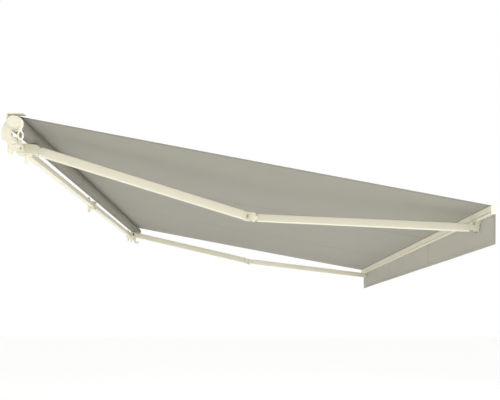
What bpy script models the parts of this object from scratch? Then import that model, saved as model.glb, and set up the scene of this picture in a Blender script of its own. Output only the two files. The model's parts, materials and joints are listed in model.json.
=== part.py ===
"""Open-frame patio awning with two folding arms, at rest fully open.

Metres, +Z up.  X runs along the wall with X = 0 at mid-width, the wall is the plane Y = 0 and
the canopy slopes out towards -Y.  The origin is on the back face of the middle wall bracket,
level with the centre of the square bar that carries everything.

Both arms fold in one inclined plane.  ARM_FRAME turns that plane's own axes into the row's:
local x is along the wall, local y points back up the slope to the wall, local z is its normal,
which is the direction of every arm pivot.
"""

import math

import bmesh
import bpy
from mathutils import Matrix, Vector

# ---- driving dimensions -------------------------------------------------------------------
FABRIC_WIDTH = 3.42
FABRIC_PITCH = math.radians(10.6)
FABRIC_THICKNESS = 0.0012
GAP = 0.0003                      # clearance left between pieces that touch

BAR_SIDE = 0.035                  # square bar
BAR_WALL = 0.0025
BAR_Y = -0.0345                   # bar centre, out from the wall
BAR_HALF_LENGTH = 1.727

ROLL_Y, ROLL_Z = -0.0823, 0.0684  # roller axis
ROLL_RADIUS = 0.0415              # over the wound fabric
TUBE_RADIUS = 0.039
PLATE_X = 1.730                   # inner face of each roller side plate
PLATE_THICKNESS = 0.004

SHOULDER_X = 1.497                # arm pivots, out from mid-width
SHOULDER_Y, SHOULDER_Z = -0.102, -0.002
PITCH_SCREW_Y = -0.0560
FRONT_Y, FRONT_Z = -2.5840, -0.4390
ELBOW_INWARD = 0.295              # elbow pivot from the shoulder-to-front line, in the arm plane
ELBOW_SAG = 0.103                 # and below that plane
UPPER_OFFSET = 0.021              # tube axis beside the elbow pivot, so the tubes fold abreast
FORE_OFFSET = 0.019
UPPER_SECTION = (0.036, 0.052)    # width and height of the upper arm's tube
FORE_SECTION = (0.032, 0.045)
ARM_WALL = 0.0026
ARM_CORNER = 0.0055
CASTING_REACH = 0.048             # pivot to the end of the tube

FRONT_BAR_BACK, FRONT_BAR_FRONT = -2.576, -2.6107
FRONT_BAR_TOP, FRONT_BAR_BOTTOM = -0.3592, -0.4040
FRONT_BAR_HALF = FABRIC_WIDTH / 2 + 0.008
VALANCE_DROP = 0.1634
VALANCE_Y = -2.6034

BRACKET_WIDTH = 0.050
OUTER_BRACKET_X = 1.600           # between the roller plate and the shoulder casting
BRACKET_PLATE = 0.008
BRACKET_TOP = 0.066
PIN_RADIUS = 0.006
PIN_BORE = 0.0066
OPEN_PIVOT_BORE = 0.0075          # the right front pivot, left loose

# ---- derived places -----------------------------------------------------------------------
ARM_PITCH = math.atan2(SHOULDER_Z - FRONT_Z, SHOULDER_Y - FRONT_Y)
REACH = math.hypot(SHOULDER_Z - FRONT_Z, SHOULDER_Y - FRONT_Y)
ARM_FRAME = Matrix.Rotation(ARM_PITCH, 4, "X")
BAR_FRONT = BAR_Y - BAR_SIDE / 2
CREAM, ZINC, CLOTH, PLASTIC = "cream", "zinc", "cloth", "plastic"
FINISHES = {
    CREAM: ((0.84, 0.80, 0.68, 1), 0.45, 0.0),
    ZINC: ((0.60, 0.60, 0.58, 1), 0.40, 1.0),
    CLOTH: ((0.46, 0.41, 0.33, 1), 0.95, 0.0),
    PLASTIC: ((0.82, 0.78, 0.67, 1), 0.50, 0.0),
}


def clear_scene():
    for obj in list(bpy.data.objects):
        bpy.data.objects.remove(obj, do_unlink=True)


def make_finish(name):
    colour, roughness, metallic = FINISHES[name]
    finish = bpy.data.materials.new(name)
    finish.use_nodes = True
    shader = finish.node_tree.nodes["Principled BSDF"]
    shader.inputs["Base Color"].default_value = colour
    shader.inputs["Roughness"].default_value = roughness
    shader.inputs["Metallic"].default_value = metallic
    finish.diffuse_color = colour
    return finish


# ---- outlines: lists of (a, b) points -----------------------------------------------------
def arc(centre, radius, start, end, steps):
    """Points on an arc, from one angle to another in degrees, both ends included."""
    turns = [math.radians(start + (end - start) * k / steps) for k in range(steps + 1)]
    return [(centre[0] + radius * math.cos(t), centre[1] + radius * math.sin(t)) for t in turns]


def circle(radius, steps=20, centre=(0.0, 0.0)):
    return arc(centre, radius, 0, 360, steps)[:-1]


def rounded_box(low, high, radius, steps=3):
    """A rectangle between two corners with its four corners rounded."""
    (a0, b0), (a1, b1) = low, high
    corners = [(a1 - radius, b1 - radius), (a0 + radius, b1 - radius),
               (a0 + radius, b0 + radius), (a1 - radius, b0 + radius)]
    points = []
    for turn, corner in enumerate(corners):
        points += arc(corner, radius, 90 * turn, 90 * turn + 90, steps)
    return points


def around(width, height, radius, steps=3):
    """The same rectangle, centred on zero."""
    return rounded_box((-width / 2, -height / 2), (width / 2, height / 2), radius, steps)


def hull(points):
    """The convex outline round a set of points, walked once along each side."""
    ordered = sorted(set((round(a, 7), round(b, 7)) for a, b in points))

    def side(run):
        kept = []
        for p in run:
            while len(kept) > 1:
                (ax, ay), (bx, by) = kept[-2:]
                if (bx - ax) * (p[1] - ay) - (by - ay) * (p[0] - ax) > 1e-10:
                    break
                kept.pop()
            kept.append(p)
        return kept[:-1]

    return side(ordered) + side(ordered[::-1])


# ---- solids -------------------------------------------------------------------------------
def add_object(name, mesh_maker, finish=None, parent=None, matrix=None):
    """Turns a bmesh into a named object; a piece without a finish is a hidden helper."""
    mesh_maker.normal_update()
    bmesh.ops.recalc_face_normals(mesh_maker, faces=mesh_maker.faces)
    mesh = bpy.data.meshes.new(name)
    mesh_maker.to_mesh(mesh)
    mesh_maker.free()
    mesh.shade_smooth()
    mesh.set_sharp_from_angle(angle=math.radians(35))
    obj = bpy.data.objects.new(name, mesh)
    bpy.context.scene.collection.objects.link(obj)
    if finish is None:
        obj.hide_render = True
        obj.display_type = "WIRE"
    else:
        mesh.materials.append(bpy.data.materials[finish])
    obj.parent = parent
    if matrix is not None:
        obj.matrix_local = matrix
    return obj


def loft(sections):
    """A closed solid through equal-length rings of 3-D points, with flat end caps."""
    work = bmesh.new()
    rings = [[work.verts.new(point) for point in ring] for ring in sections]
    for one, two in zip(rings, rings[1:]):
        for k in range(len(one)):
            n = (k + 1) % len(one)
            work.faces.new((one[k], one[n], two[n], two[k]))
    work.faces.new(rings[0][::-1])
    work.faces.new(rings[-1])
    return work


def extrude(outline, start, end, along="x"):
    """A prism of an (a, b) outline: along x it lies in (y, z), along y in (x, z), along z in (x, y)."""
    order = {"x": lambda a, b, t: (t, a, b), "y": lambda a, b, t: (a, t, b),
             "z": lambda a, b, t: (a, b, t)}[along]
    return loft([[order(a, b, t) for a, b in outline] for t in (start, end)])


def pipe(outer, inner, start, end, along="x"):
    """A prism with a hole right through it; both outlines have the same number of points."""
    order = {"x": lambda a, b, t: (t, a, b), "z": lambda a, b, t: (a, b, t)}[along]
    work = bmesh.new()
    rings = []
    for outline, t in ((outer, start), (outer, end), (inner, end), (inner, start)):
        rings.append([work.verts.new(order(a, b, t)) for a, b in outline])
    for one, two in zip(rings, rings[1:] + rings[:1]):
        for k in range(len(one)):
            n = (k + 1) % len(one)
            work.faces.new((one[k], one[n], two[n], two[k]))
    return work


def turned(profile, steps=20, along="x", centre=(0.0, 0.0)):
    """A turned piece from (radius, place) pairs, listed from one end to the other."""
    order = {"x": lambda a, b, t: (t, centre[0] + a, centre[1] + b),
             "z": lambda a, b, t: (centre[0] + a, centre[1] + b, t)}[along]
    return loft([[order(a, b, t) for a, b in circle(r, steps)] for r, t in profile])


def combine(target, helper, operation):
    modifier = target.modifiers.new(operation.title() + " " + helper.name, "BOOLEAN")
    modifier.operation = operation
    modifier.solver = "EXACT"
    modifier.object = helper


def build(name, finish, first, joined=(), cut=(), parent=None, matrix=None):
    """One solid: a first body, bodies joined to it, then bodies cut from it.

    A joined or cut body is a bmesh, or a (bmesh, matrix) pair where it lies otherwise.
    """
    target = add_object(name, first, finish, parent, matrix)
    jobs = [(work, "UNION") for work in joined] + [(work, "DIFFERENCE") for work in cut]
    for index, (work, operation) in enumerate(jobs):
        body, place = work if isinstance(work, tuple) else (work, Matrix())
        helper = add_object(f"{name}.helper{index}", body, None, parent, (matrix or Matrix()) @ place)
        combine(target, helper, operation)
    return target


def axis_empty(name, world, parent=None, parent_world=None):
    """An empty on a joint's axis; its own z is the axis."""
    empty = bpy.data.objects.new(name, None)
    empty.empty_display_size = 0.1
    bpy.context.scene.collection.objects.link(empty)
    empty.parent = parent
    empty.matrix_local = parent_world.inverted() @ world if parent_world else world
    return empty


# ---- the bar and its wall brackets --------------------------------------------------------
def make_bar():
    outer = rounded_box((BAR_Y - BAR_SIDE / 2, -BAR_SIDE / 2), (BAR_Y + BAR_SIDE / 2, BAR_SIDE / 2), 0.0035)
    inside = BAR_SIDE / 2 - BAR_WALL
    inner = rounded_box((BAR_Y - inside, -inside), (BAR_Y + inside, inside), 0.001)
    build("torsion_bar", CREAM, pipe(outer, inner, -BAR_HALF_LENGTH, BAR_HALF_LENGTH))
    stub = around(2 * (inside - GAP), 2 * (inside - GAP), 0.001)
    head = around(BAR_SIDE, BAR_SIDE, 0.0035)
    for side, sign in (("left", -1), ("right", 1)):
        rim = BAR_HALF_LENGTH + GAP
        places = (rim - 0.018, rim, rim, rim + 0.0022)
        rings = [[(sign * x, BAR_Y + a, b) for a, b in outline]
                 for x, outline in zip(places, (stub, stub, head, head))]
        build(f"bar_plug_{side}", PLASTIC, loft(rings))


def bracket_profile():
    """The wall bracket seen along the wall: back plate, shelf and a seat for the bar."""
    seat_back = BAR_Y + BAR_SIDE / 2 + GAP
    seat = BAR_SIDE / 2 + GAP
    jaw = 0.031
    front = BAR_FRONT
    return [(0, -0.052), (0, BRACKET_TOP), (-BRACKET_PLATE, BRACKET_TOP), (-BRACKET_PLATE, jaw + 0.012),
            (-BRACKET_PLATE - 0.010, jaw), (front + 0.004, jaw), (front, jaw - 0.004), (front, seat),
            (seat_back, seat), (seat_back, -seat), (front, -seat), (front, -jaw + 0.004),
            (front + 0.004, -jaw), (-BRACKET_PLATE - 0.006, -jaw), (-BRACKET_PLATE, -jaw - 0.006),
            (-BRACKET_PLATE, -0.052)]


def make_brackets():
    places = {"left": -OUTER_BRACKET_X, "middle": 0.0, "right": OUTER_BRACKET_X}
    for side, x in places.items():
        low, high = x - BRACKET_WIDTH / 2, x + BRACKET_WIDTH / 2
        hole = extrude(circle(0.0045, 12, (x, BRACKET_TOP - 0.011)), -0.02, 0.01, "y")
        build(f"wall_bracket_{side}", CREAM, extrude(bracket_profile(), low, high), cut=[hole])
        front = BAR_FRONT - GAP
        plate = rounded_box((front - 0.007, -0.033), (front, 0.030), 0.002, 2)
        levels = (("upper", 0.024), ("lower", -0.024))
        bores = [extrude(circle(0.0036, 12, (x, z)), front - 0.01, front + 0.01, "y") for _, z in levels]
        build(f"bar_clamp_{side}", CREAM, extrude(plate, low + 0.004, high - 0.004), cut=bores)
        for level, z in levels:
            if side != "middle" and level == "upper":
                continue
            rings = []
            for radius, y in ((0.0066, front - 0.0115), (0.0066, front - 0.0073), (0.0032, front - 0.0073),
                              (0.0032, front + 0.0001)):
                rings.append([(x + a, y, z + b) for a, b in circle(radius, 12)])
            build(f"clamp_bolt_{side}_{level}", ZINC, loft(rings))


def make_hood_flanges():
    """A bent angle over each end of the roll, standing on the bar behind the roll."""
    heel, toe, upright = -0.0190, -0.1282, -0.0355
    seat, under, thick = BAR_SIDE / 2 + GAP, 0.1185, 0.004
    profile = [(heel, seat + thick), (heel, seat), (upright - thick, seat), (upright - thick, under),
               (toe, under), (toe, under + thick), (upright, under + thick), (upright, seat + thick)]
    inner, outer = PLATE_X - 0.035, PLATE_X - 0.0005
    for side, sign in (("left", -1), ("right", 1)):
        build(f"hood_flange_{side}", CREAM, extrude(profile, sign * inner, sign * outer))


# ---- roller, gear and crank eye -----------------------------------------------------------
GEAR_X = -(PLATE_X + PLATE_THICKNESS + 0.0125)
WORM_Y = ROLL_Y - 0.0342
WORM_RADIUS = 0.0070
WORM_LOW, WORM_HIGH = 0.0556, 0.0774
GEAR_TEETH, GEAR_ROOT, GEAR_TIP = 28, 0.0243, 0.0265
EYE_LOW, EYE_HIGH = -0.0265, 0.0255
EYE_WIRE = 0.0043
EYE_HALF_WIDTH = 0.0170
FOOT_TOE, FOOT_SLIT = -0.0985, -0.0445


def make_side_plates():
    """Round-topped plates that carry the roller.

    Each covers the bar's end, leaves a window under the roll and grips the bar from below
    with a slit foot.
    """
    crown = arc((ROLL_Y, ROLL_Z), 0.0345, 75, 215, 14)
    window = [(-0.0980, 0.0370), (-0.0665, 0.0345), (-0.0625, 0.0300), (-0.0625, -0.0330), (-0.0660, -0.0370)]
    foot = [(FOOT_TOE, -0.0395), (FOOT_TOE, -0.0428), (-0.0600, -0.0428), (-0.0600, FOOT_SLIT),
            (FOOT_TOE, FOOT_SLIT), (FOOT_TOE, -0.0505), (-0.0850, -0.0600), (-0.0600, -0.0610),
            (-0.0500, -0.0540), (-0.0455, -0.0300)]
    lobe = [(-0.0165, -0.0190), (-0.0130, -0.0140), (-0.0130, 0.0330), (-0.0260, 0.0660),
            (-0.0420, 0.0870), (-0.0450, 0.0950), (-0.0520, 0.1005)]
    outline = crown + window + foot + lobe
    shelf = [(-0.0500, -0.0505), (FOOT_TOE, -0.0505), (FOOT_TOE, FOOT_SLIT), (-0.0500, FOOT_SLIT)]
    for side, sign in (("left", -1), ("right", 1)):
        face = [sign * PLATE_X, sign * (PLATE_X + PLATE_THICKNESS)]
        ledge = extrude(shelf, sign * (PLATE_X - 0.030), sign * (PLATE_X + PLATE_THICKNESS / 2))
        bore = 0.0080 if side == "left" else 0.0103
        hole = extrude(circle(bore, 20, (ROLL_Y, ROLL_Z)), face[0] - sign * 0.01, face[1] + sign * 0.01)
        build(f"roller_plate_{side}", CREAM, extrude(outline, *face), joined=[ledge], cut=[hole])


def make_roller(parent, world):
    half = FABRIC_WIDTH / 2
    middle = (ROLL_Y, ROLL_Z)
    wrap = pipe(circle(ROLL_RADIUS, 36, middle), circle(TUBE_RADIUS + GAP, 36, middle), -half, half)
    inverse = world.inverted()
    build("fabric_roll", CLOTH, wrap, parent=parent, matrix=inverse)
    tube = pipe(circle(TUBE_RADIUS, 32, middle), circle(TUBE_RADIUS - 0.0015, 32, middle),
                -half - 0.006, half + 0.006)
    build("roller_tube", ZINC, tube, parent=parent, matrix=inverse)
    bore, rim = TUBE_RADIUS - 0.0015 - GAP, TUBE_RADIUS + 0.001
    journals = (("left", -1, -GEAR_X + 0.006), ("right", 1, PLATE_X + PLATE_THICKNESS + 0.003))
    for side, sign, journal_end in journals:
        steps = [(bore, half - 0.045), (bore, half + 0.0063), (rim, half + 0.0063), (rim, half + 0.012),
                 (0.0060, half + 0.012), (0.0060, journal_end)]
        cap = turned([(r, sign * x) for r, x in steps], 24, centre=middle)
        build(f"roller_cap_{side}", PLASTIC, cap, parent=parent, matrix=inverse)
    tooth = []
    for k in range(GEAR_TEETH):
        for radius, share in ((GEAR_ROOT, 0.0), (GEAR_TIP, 0.25), (GEAR_TIP, 0.5), (GEAR_ROOT, 0.75)):
            turn = math.tau * (k + share) / GEAR_TEETH
            tooth.append((ROLL_Y + radius * math.cos(turn), ROLL_Z + radius * math.sin(turn)))
    bore_ring = circle(0.0064, len(tooth), middle)
    gear = pipe(tooth, bore_ring, GEAR_X - 0.005, GEAR_X + 0.005)
    build("drive_gear", ZINC, gear, parent=parent, matrix=inverse)


def make_gearbox():
    """A cup on the outside of the left plate, closed to the outside, that holds gear and worm."""
    inner = -(PLATE_X + PLATE_THICKNESS + GAP)
    outer = inner - 0.025
    middle = (ROLL_Y, ROLL_Z)

    def shell(wheel, beside, below, above, corner):
        worm_room = rounded_box((WORM_Y - beside, below), (WORM_Y + beside, above), corner)
        return hull(arc(middle, wheel, 0, 360, 28) + worm_room)

    wall = extrude(shell(0.0308, 0.0104, 0.0440, 0.0815, 0.0060), inner, outer)
    cavity = extrude(shell(0.0275, 0.0074, 0.0548, 0.0782, 0.0010), inner + 0.01, outer + 0.003)
    shaft_way = turned([(0.0046, 0.030), (0.0046, 0.0565)], 16, "z", (GEAR_X, WORM_Y))
    build("gear_housing", CREAM, wall, cut=[cavity, shaft_way])
    bush = pipe(circle(0.0100, 24, middle), circle(0.0063, 24, middle), PLATE_X - 0.001,
                PLATE_X + PLATE_THICKNESS + 0.002)
    build("idler_bush", PLASTIC, bush)


def make_crank_eye(parent, world):
    """The stem and its oval eye are one forging; the worm sits on the stem."""
    inverse = world.inverted()
    stem = turned([(0.0072, EYE_HIGH - 0.004), (0.0084, EYE_HIGH), (0.0084, 0.0415), (0.0040, 0.0415),
                   (0.0040, 0.0778)], 16, "z", (GEAR_X, WORM_Y))
    middle = (EYE_LOW + EYE_HIGH) / 2
    half_height = (EYE_HIGH - EYE_LOW) / 2 - EYE_WIRE
    half_width = EYE_HALF_WIDTH - EYE_WIRE
    ring = bmesh.new()
    loops = []
    for k in range(28):
        turn = math.tau * k / 28
        centre = Vector((0, half_width * math.cos(turn), half_height * math.sin(turn)))
        outward = Vector((0, half_height * math.cos(turn), half_width * math.sin(turn))).normalized()
        loop = []
        for j in range(10):
            around_wire = math.tau * j / 10
            offset = outward * math.cos(around_wire) + Vector((1, 0, 0)) * math.sin(around_wire)
            point = centre + offset * EYE_WIRE
            loop.append(ring.verts.new((GEAR_X + point.x, WORM_Y + point.y, middle + point.z)))
        loops.append(loop)
    for one, two in zip(loops, loops[1:] + loops[:1]):
        for j in range(10):
            n = (j + 1) % 10
            ring.faces.new((one[j], one[n], two[n], two[j]))
    build("crank_eye", CREAM, stem, joined=[ring], parent=parent, matrix=inverse)
    place = (GEAR_X, WORM_Y)
    worm = pipe(circle(WORM_RADIUS, 20, place), circle(0.0044, 20, place), WORM_LOW, WORM_HIGH, "z")
    build("worm", ZINC, worm, parent=parent, matrix=inverse)


# ---- arms ---------------------------------------------------------------------------------
def arm_axes(start, end):
    """A frame along a tube: x from start to end, z as near the pivot direction as it can be."""
    along = (Vector(end) - Vector(start)).normalized()
    across = Vector((0, 0, 1)).cross(along).normalized()
    up = along.cross(across)
    frame = Matrix((along, across, up)).transposed().to_4x4()
    frame.translation = start
    return frame


def tube_end(section, start, shoulder, plug):
    """The block that meets a tube's end, with a plug that goes inside it."""
    width, height = section
    full = around(width, height, ARM_CORNER, 4)
    slack = 2 * (ARM_WALL + GAP)
    tight = around(width - slack, height - slack, ARM_CORNER - ARM_WALL - GAP, 4)
    places = (start, shoulder, shoulder, plug)
    return loft([[(x, a, b) for a, b in outline] for x, outline in zip(places, (full, full, tight, tight))])


def knuckle(pivot, radius, frame, width, reach):
    """The outline, in the arm plane, of a lug that runs from a pivot into a tube's end."""
    corner = [frame @ Vector((x, sign * width * 0.47, 0)) for x in (reach - 0.004, reach) for sign in (-1, 1)]
    return hull(circle(radius, 24, pivot) + [(point.x, point.y) for point in corner])


def make_bore(pivot, radius, level=0.0):
    return turned([(radius, level - 0.06), (radius, level + 0.06)], 16, "z", pivot)


def make_arm(side, sign):
    """One folding arm, in the arm plane's own axes, with its shoulder pivot at zero."""
    shoulder_world = Matrix.Translation((sign * SHOULDER_X, SHOULDER_Y, SHOULDER_Z)) @ ARM_FRAME
    elbow = Vector((-sign * ELBOW_INWARD, -REACH / 2, -ELBOW_SAG))
    front = Vector((0, -REACH, 0))
    elbow_world = shoulder_world @ Matrix.Translation(elbow)
    front_world = shoulder_world @ Matrix.Translation(front)
    shoulder_axis = axis_empty(f"shoulder_axis_{side}", shoulder_world)
    elbow_axis = axis_empty(f"elbow_axis_{side}", elbow_world, shoulder_axis, shoulder_world)
    inward = Vector((-sign, 0, 0))

    # upper arm: its tube meets the shoulder pivot and passes beside the elbow pivot
    run = arm_axes(Vector((0, 0, 0)), elbow + inward * UPPER_OFFSET)
    length = (elbow + inward * UPPER_OFFSET).length
    width, height = UPPER_SECTION
    outer = around(width, height, ARM_CORNER, 4)
    inner = around(width - 2 * ARM_WALL, height - 2 * ARM_WALL, ARM_CORNER - ARM_WALL, 4)
    tube = pipe(outer, inner, CASTING_REACH, length - CASTING_REACH)
    build(f"upper_arm_{side}", CREAM, tube, parent=shoulder_axis, matrix=run)
    lug = extrude(knuckle((0, 0), 0.0200, run, width, 0.042), -0.0143, 0.0143, "z")
    block = (tube_end(UPPER_SECTION, 0.036, CASTING_REACH - GAP, 0.085), run)
    build(f"shoulder_knuckle_{side}", CREAM, lug, joined=[block], cut=[make_bore((0, 0), PIN_BORE)],
          parent=shoulder_axis)
    back = run @ Matrix.Translation((length, 0, 0)) @ Matrix.Rotation(math.pi, 4, "Z")
    block = (tube_end(UPPER_SECTION, 0.037, CASTING_REACH - GAP, 0.085), back)
    outline = knuckle((elbow.x, elbow.y), 0.0240, back, width, 0.042)
    upper_ear = extrude(outline, elbow.z + 0.0125, elbow.z + 0.0245, "z")
    lower_ear = extrude(outline, elbow.z - 0.0245, elbow.z - 0.0125, "z")
    build(f"elbow_fork_{side}", CREAM, upper_ear, joined=[block, lower_ear],
          cut=[make_bore((elbow.x, elbow.y), PIN_BORE, elbow.z)], parent=shoulder_axis)
    pin = turned([(0.0105, -0.0275), (0.0105, -0.0249), (PIN_RADIUS, -0.0249), (PIN_RADIUS, 0.0262)], 16, "z")
    build(f"elbow_pin_{side}", ZINC, pin, parent=shoulder_axis, matrix=Matrix.Translation(elbow))
    spring = pipe(circle(0.0120, 20), circle(0.0080, 20), 0.150, 0.800)
    build(f"arm_spring_{side}", ZINC, spring, parent=shoulder_axis, matrix=run)
    cable = extrude(circle(0.0025, 10), 0.700, length - 0.090)
    build(f"spring_cable_{side}", ZINC, cable, parent=shoulder_axis, matrix=run)

    # forearm: its tube passes beside the elbow pivot and meets the front pivot
    reach = front - elbow
    start = inward * FORE_OFFSET
    fore = arm_axes(start, reach)
    length = (reach - start).length
    width, height = FORE_SECTION
    outer = around(width, height, ARM_CORNER, 4)
    inner = around(width - 2 * ARM_WALL, height - 2 * ARM_WALL, ARM_CORNER - ARM_WALL, 4)
    tube = pipe(outer, inner, CASTING_REACH, length - CASTING_REACH)
    build(f"forearm_{side}", CREAM, tube, parent=elbow_axis, matrix=fore)
    lug = extrude(knuckle((0, 0), 0.0230, fore, width, 0.042), -0.0121, 0.0121, "z")
    block = (tube_end(FORE_SECTION, 0.037, CASTING_REACH - GAP, 0.080), fore)
    build(f"elbow_tongue_{side}", CREAM, lug, joined=[block], cut=[make_bore((0, 0), PIN_BORE)],
          parent=elbow_axis)
    back = fore @ Matrix.Translation((length, 0, 0)) @ Matrix.Rotation(math.pi, 4, "Z")
    outline = knuckle((reach.x, reach.y), 0.0140, back, width, 0.042)
    lug = extrude(outline, reach.z - 0.0115, reach.z + 0.0115, "z")
    block = (tube_end(FORE_SECTION, 0.034, CASTING_REACH - GAP, 0.080), back)
    bore = PIN_BORE if side == "left" else OPEN_PIVOT_BORE
    build(f"front_tongue_{side}", CREAM, lug, joined=[block],
          cut=[make_bore((reach.x, reach.y), bore, reach.z)], parent=elbow_axis)

    make_shoulder_bracket(side, sign, shoulder_world)
    return elbow_axis, elbow_world, front_world


def make_shoulder_bracket(side, sign, shoulder_world):
    """A casting threaded on the bar, with two ears round the arm's shoulder knuckle."""
    x = sign * SHOULDER_X
    half = 0.030
    hole = BAR_SIDE / 2 + GAP
    outer = rounded_box((-0.0780, -0.0290), (-0.0060, 0.0260), 0.004)
    inner = rounded_box((BAR_Y - hole, -hole), (BAR_Y + hole, hole), 0.0030)
    body = pipe(outer, inner, x - half, x + half)
    local = shoulder_world
    root = [(-half, 0.028), (half, 0.028), (-half, 0.034), (half, 0.034)]
    outline = hull(circle(0.0245, 24) + root)
    ears = [(extrude(outline, low, high, "z"), local) for low, high in ((0.0148, 0.0235), (-0.0290, -0.0148))]
    wall = rounded_box((-0.0245, -0.0290), (0.0320, 0.0235), 0.0070)
    ears.append((extrude(wall, *sorted((sign * 0.0222, sign * 0.0300))), local))
    bore = (turned([(PIN_BORE, -0.06), (PIN_BORE, 0.06)], 16, "z"), local)
    screw_bore = turned([(0.0068, -0.035), (0.0068, -0.0195)], 16, "z", (x, PITCH_SCREW_Y))
    build(f"shoulder_bracket_{side}", CREAM, body, joined=ears, cut=[bore, screw_bore])
    pin = turned([(0.0100, -0.0315), (0.0100, -0.0293), (PIN_RADIUS, -0.0293), (PIN_RADIUS, 0.0248)], 16, "z")
    build(f"shoulder_pin_{side}", ZINC, pin, matrix=local)
    knob = 0.0115
    dome = [(knob * math.cos(t), -0.0740 - knob * math.sin(t))
            for t in (math.radians(k) for k in (0, 20, 40, 60, 78))]
    screw = [(0.0062, -0.0198), (0.0062, -0.0293), (knob, -0.0293)] + dome
    build(f"pitch_screw_{side}", PLASTIC, turned(screw, 16, "z", (x, PITCH_SCREW_Y)))


def make_front_fork(side, sign, front_world, parent, parent_world):
    """The fork that hangs under the front bar and takes the forearm's end."""
    place = parent_world.inverted() @ front_world
    outer, eye = 0.0225, 0.0125
    to_row = front_world.inverted() @ Matrix.Translation((sign * SHOULDER_X, 0, 0))
    top = FRONT_BAR_BOTTOM - GAP
    shoe = rounded_box((-0.034, VALANCE_Y + 0.0025), (0.034, FRONT_BAR_BACK - 0.0015), 0.004)
    shoe = (extrude(shoe, top - 0.0090, top, "z"), to_row)
    outline = hull(circle(eye, 24) + [(sign * outer, -eye + 0.002), (sign * outer, eye - 0.002)])
    upper = extrude(outline, 0.0120, 0.0310, "z")
    lower = extrude(outline, -0.0225, -0.0120, "z")
    sides = sorted((sign * 0.0155, sign * (outer + 0.001)))
    web = extrude(rounded_box((sides[0], -0.0100), (sides[1], 0.0100), 0.0015), -0.0215, 0.0250, "z")
    bore = turned([(PIN_BORE, -0.06), (PIN_BORE, 0.0265)], 16, "z")
    build(f"front_fork_{side}", CREAM, upper, joined=[web, lower, shoe], cut=[bore], parent=parent,
          matrix=place)
    pin = turned([(0.0100, -0.0250), (0.0100, -0.0228), (PIN_RADIUS, -0.0228), (PIN_RADIUS, 0.0260)], 16, "z")
    build(f"front_pin_{side}", ZINC, pin, parent=parent, matrix=place)


# ---- front bar, valance and canopy --------------------------------------------------------
def front_bar_outline():
    """Seen along the wall: rounded nose, a keder groove on top and one for the valance below."""
    back, front, top, low = FRONT_BAR_BACK, FRONT_BAR_FRONT, FRONT_BAR_TOP, FRONT_BAR_BOTTOM
    nose, chin = 0.019, 0.009
    slot_front, slot_back = VALANCE_Y - 0.0020, VALANCE_Y + 0.0020
    depth = 0.007
    groove_front, groove_back = -2.5930, -2.5885
    return ([(back, low + 0.002), (back, top - 0.003), (back - 0.003, top),
             (groove_back, top), (groove_back, top - depth), (groove_front, top - depth), (groove_front, top)]
            + arc((front + nose, top - nose), nose, 90, 180, 8)
            + [(front, low + chin), (front + 0.0015, low + 0.0045), (slot_front - 0.0015, low),
               (slot_front, low), (slot_front, low + depth), (slot_back, low + depth), (slot_back, low),
               (back - 0.002, low)])


def make_front_bar(parent, world):
    inverse = world.inverted()
    half = FRONT_BAR_HALF
    hollow = [(FRONT_BAR_BACK - 0.003, -0.3905), (FRONT_BAR_BACK - 0.003, -0.3690), (-2.5960, -0.3690),
              (-2.6030, -0.3735), (-2.6065, -0.3800), (-2.6065, -0.3905)]
    channel = extrude(hollow, -half - 0.01, half + 0.01)
    build("front_bar", CREAM, extrude(front_bar_outline(), -half, half), cut=[channel], parent=parent,
          matrix=inverse)
    front, back = FRONT_BAR_FRONT - 0.0005, FRONT_BAR_BACK + 0.0005
    low, high = FRONT_BAR_BOTTOM - 0.0005, FRONT_BAR_TOP + 0.0005
    cap = []
    for radius, a, b, turn in ((0.0195, front, high, 90), (0.0120, front, low, 180),
                               (0.0040, back, low, 270), (0.0040, back, high, 360)):
        centre = (a + math.copysign(radius, -2.59 - a), b + math.copysign(radius, -0.38 - b))
        cap += arc(centre, radius, turn, turn + 90, 6)
    for side, sign in (("left", -1), ("right", 1)):
        body = extrude(cap, sign * (half + GAP), sign * (half + 0.0045))
        build(f"front_cap_{side}", PLASTIC, body, parent=parent, matrix=inverse)
    foot = FRONT_BAR_BOTTOM + 0.006 - VALANCE_DROP
    head = FRONT_BAR_BOTTOM + 0.006
    front, back = VALANCE_Y - FABRIC_THICKNESS / 2, VALANCE_Y + FABRIC_THICKNESS / 2
    sheet = [(front, foot), (back, foot), (back, head), (front, head)]
    build("valance", CLOTH, extrude(sheet, -FABRIC_WIDTH / 2, FABRIC_WIDTH / 2), parent=parent,
          matrix=inverse)


def make_canopy():
    """The stretched cloth, from where it leaves the roll to the groove in the front bar."""
    out = Vector((-math.cos(FABRIC_PITCH), -math.sin(FABRIC_PITCH)))
    up = Vector((-math.sin(FABRIC_PITCH), math.cos(FABRIC_PITCH)))
    start = Vector((ROLL_Y, ROLL_Z)) + up * (ROLL_RADIUS + 0.0005)
    length = (start.x - (-2.5885)) / math.cos(FABRIC_PITCH)
    end = start + out * length
    lift = up * FABRIC_THICKNESS
    hem = FRONT_BAR_TOP - 0.005
    tuck = end.x - 0.0012
    outline = [tuple(start), tuple(end), (end.x - 0.0004, hem), (tuck - 0.0004, hem),
               (tuck - 0.0004, end.y + lift.y), tuple(start + lift)]
    build("canopy", CLOTH, extrude(outline, -FABRIC_WIDTH / 2, FABRIC_WIDTH / 2))


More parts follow.
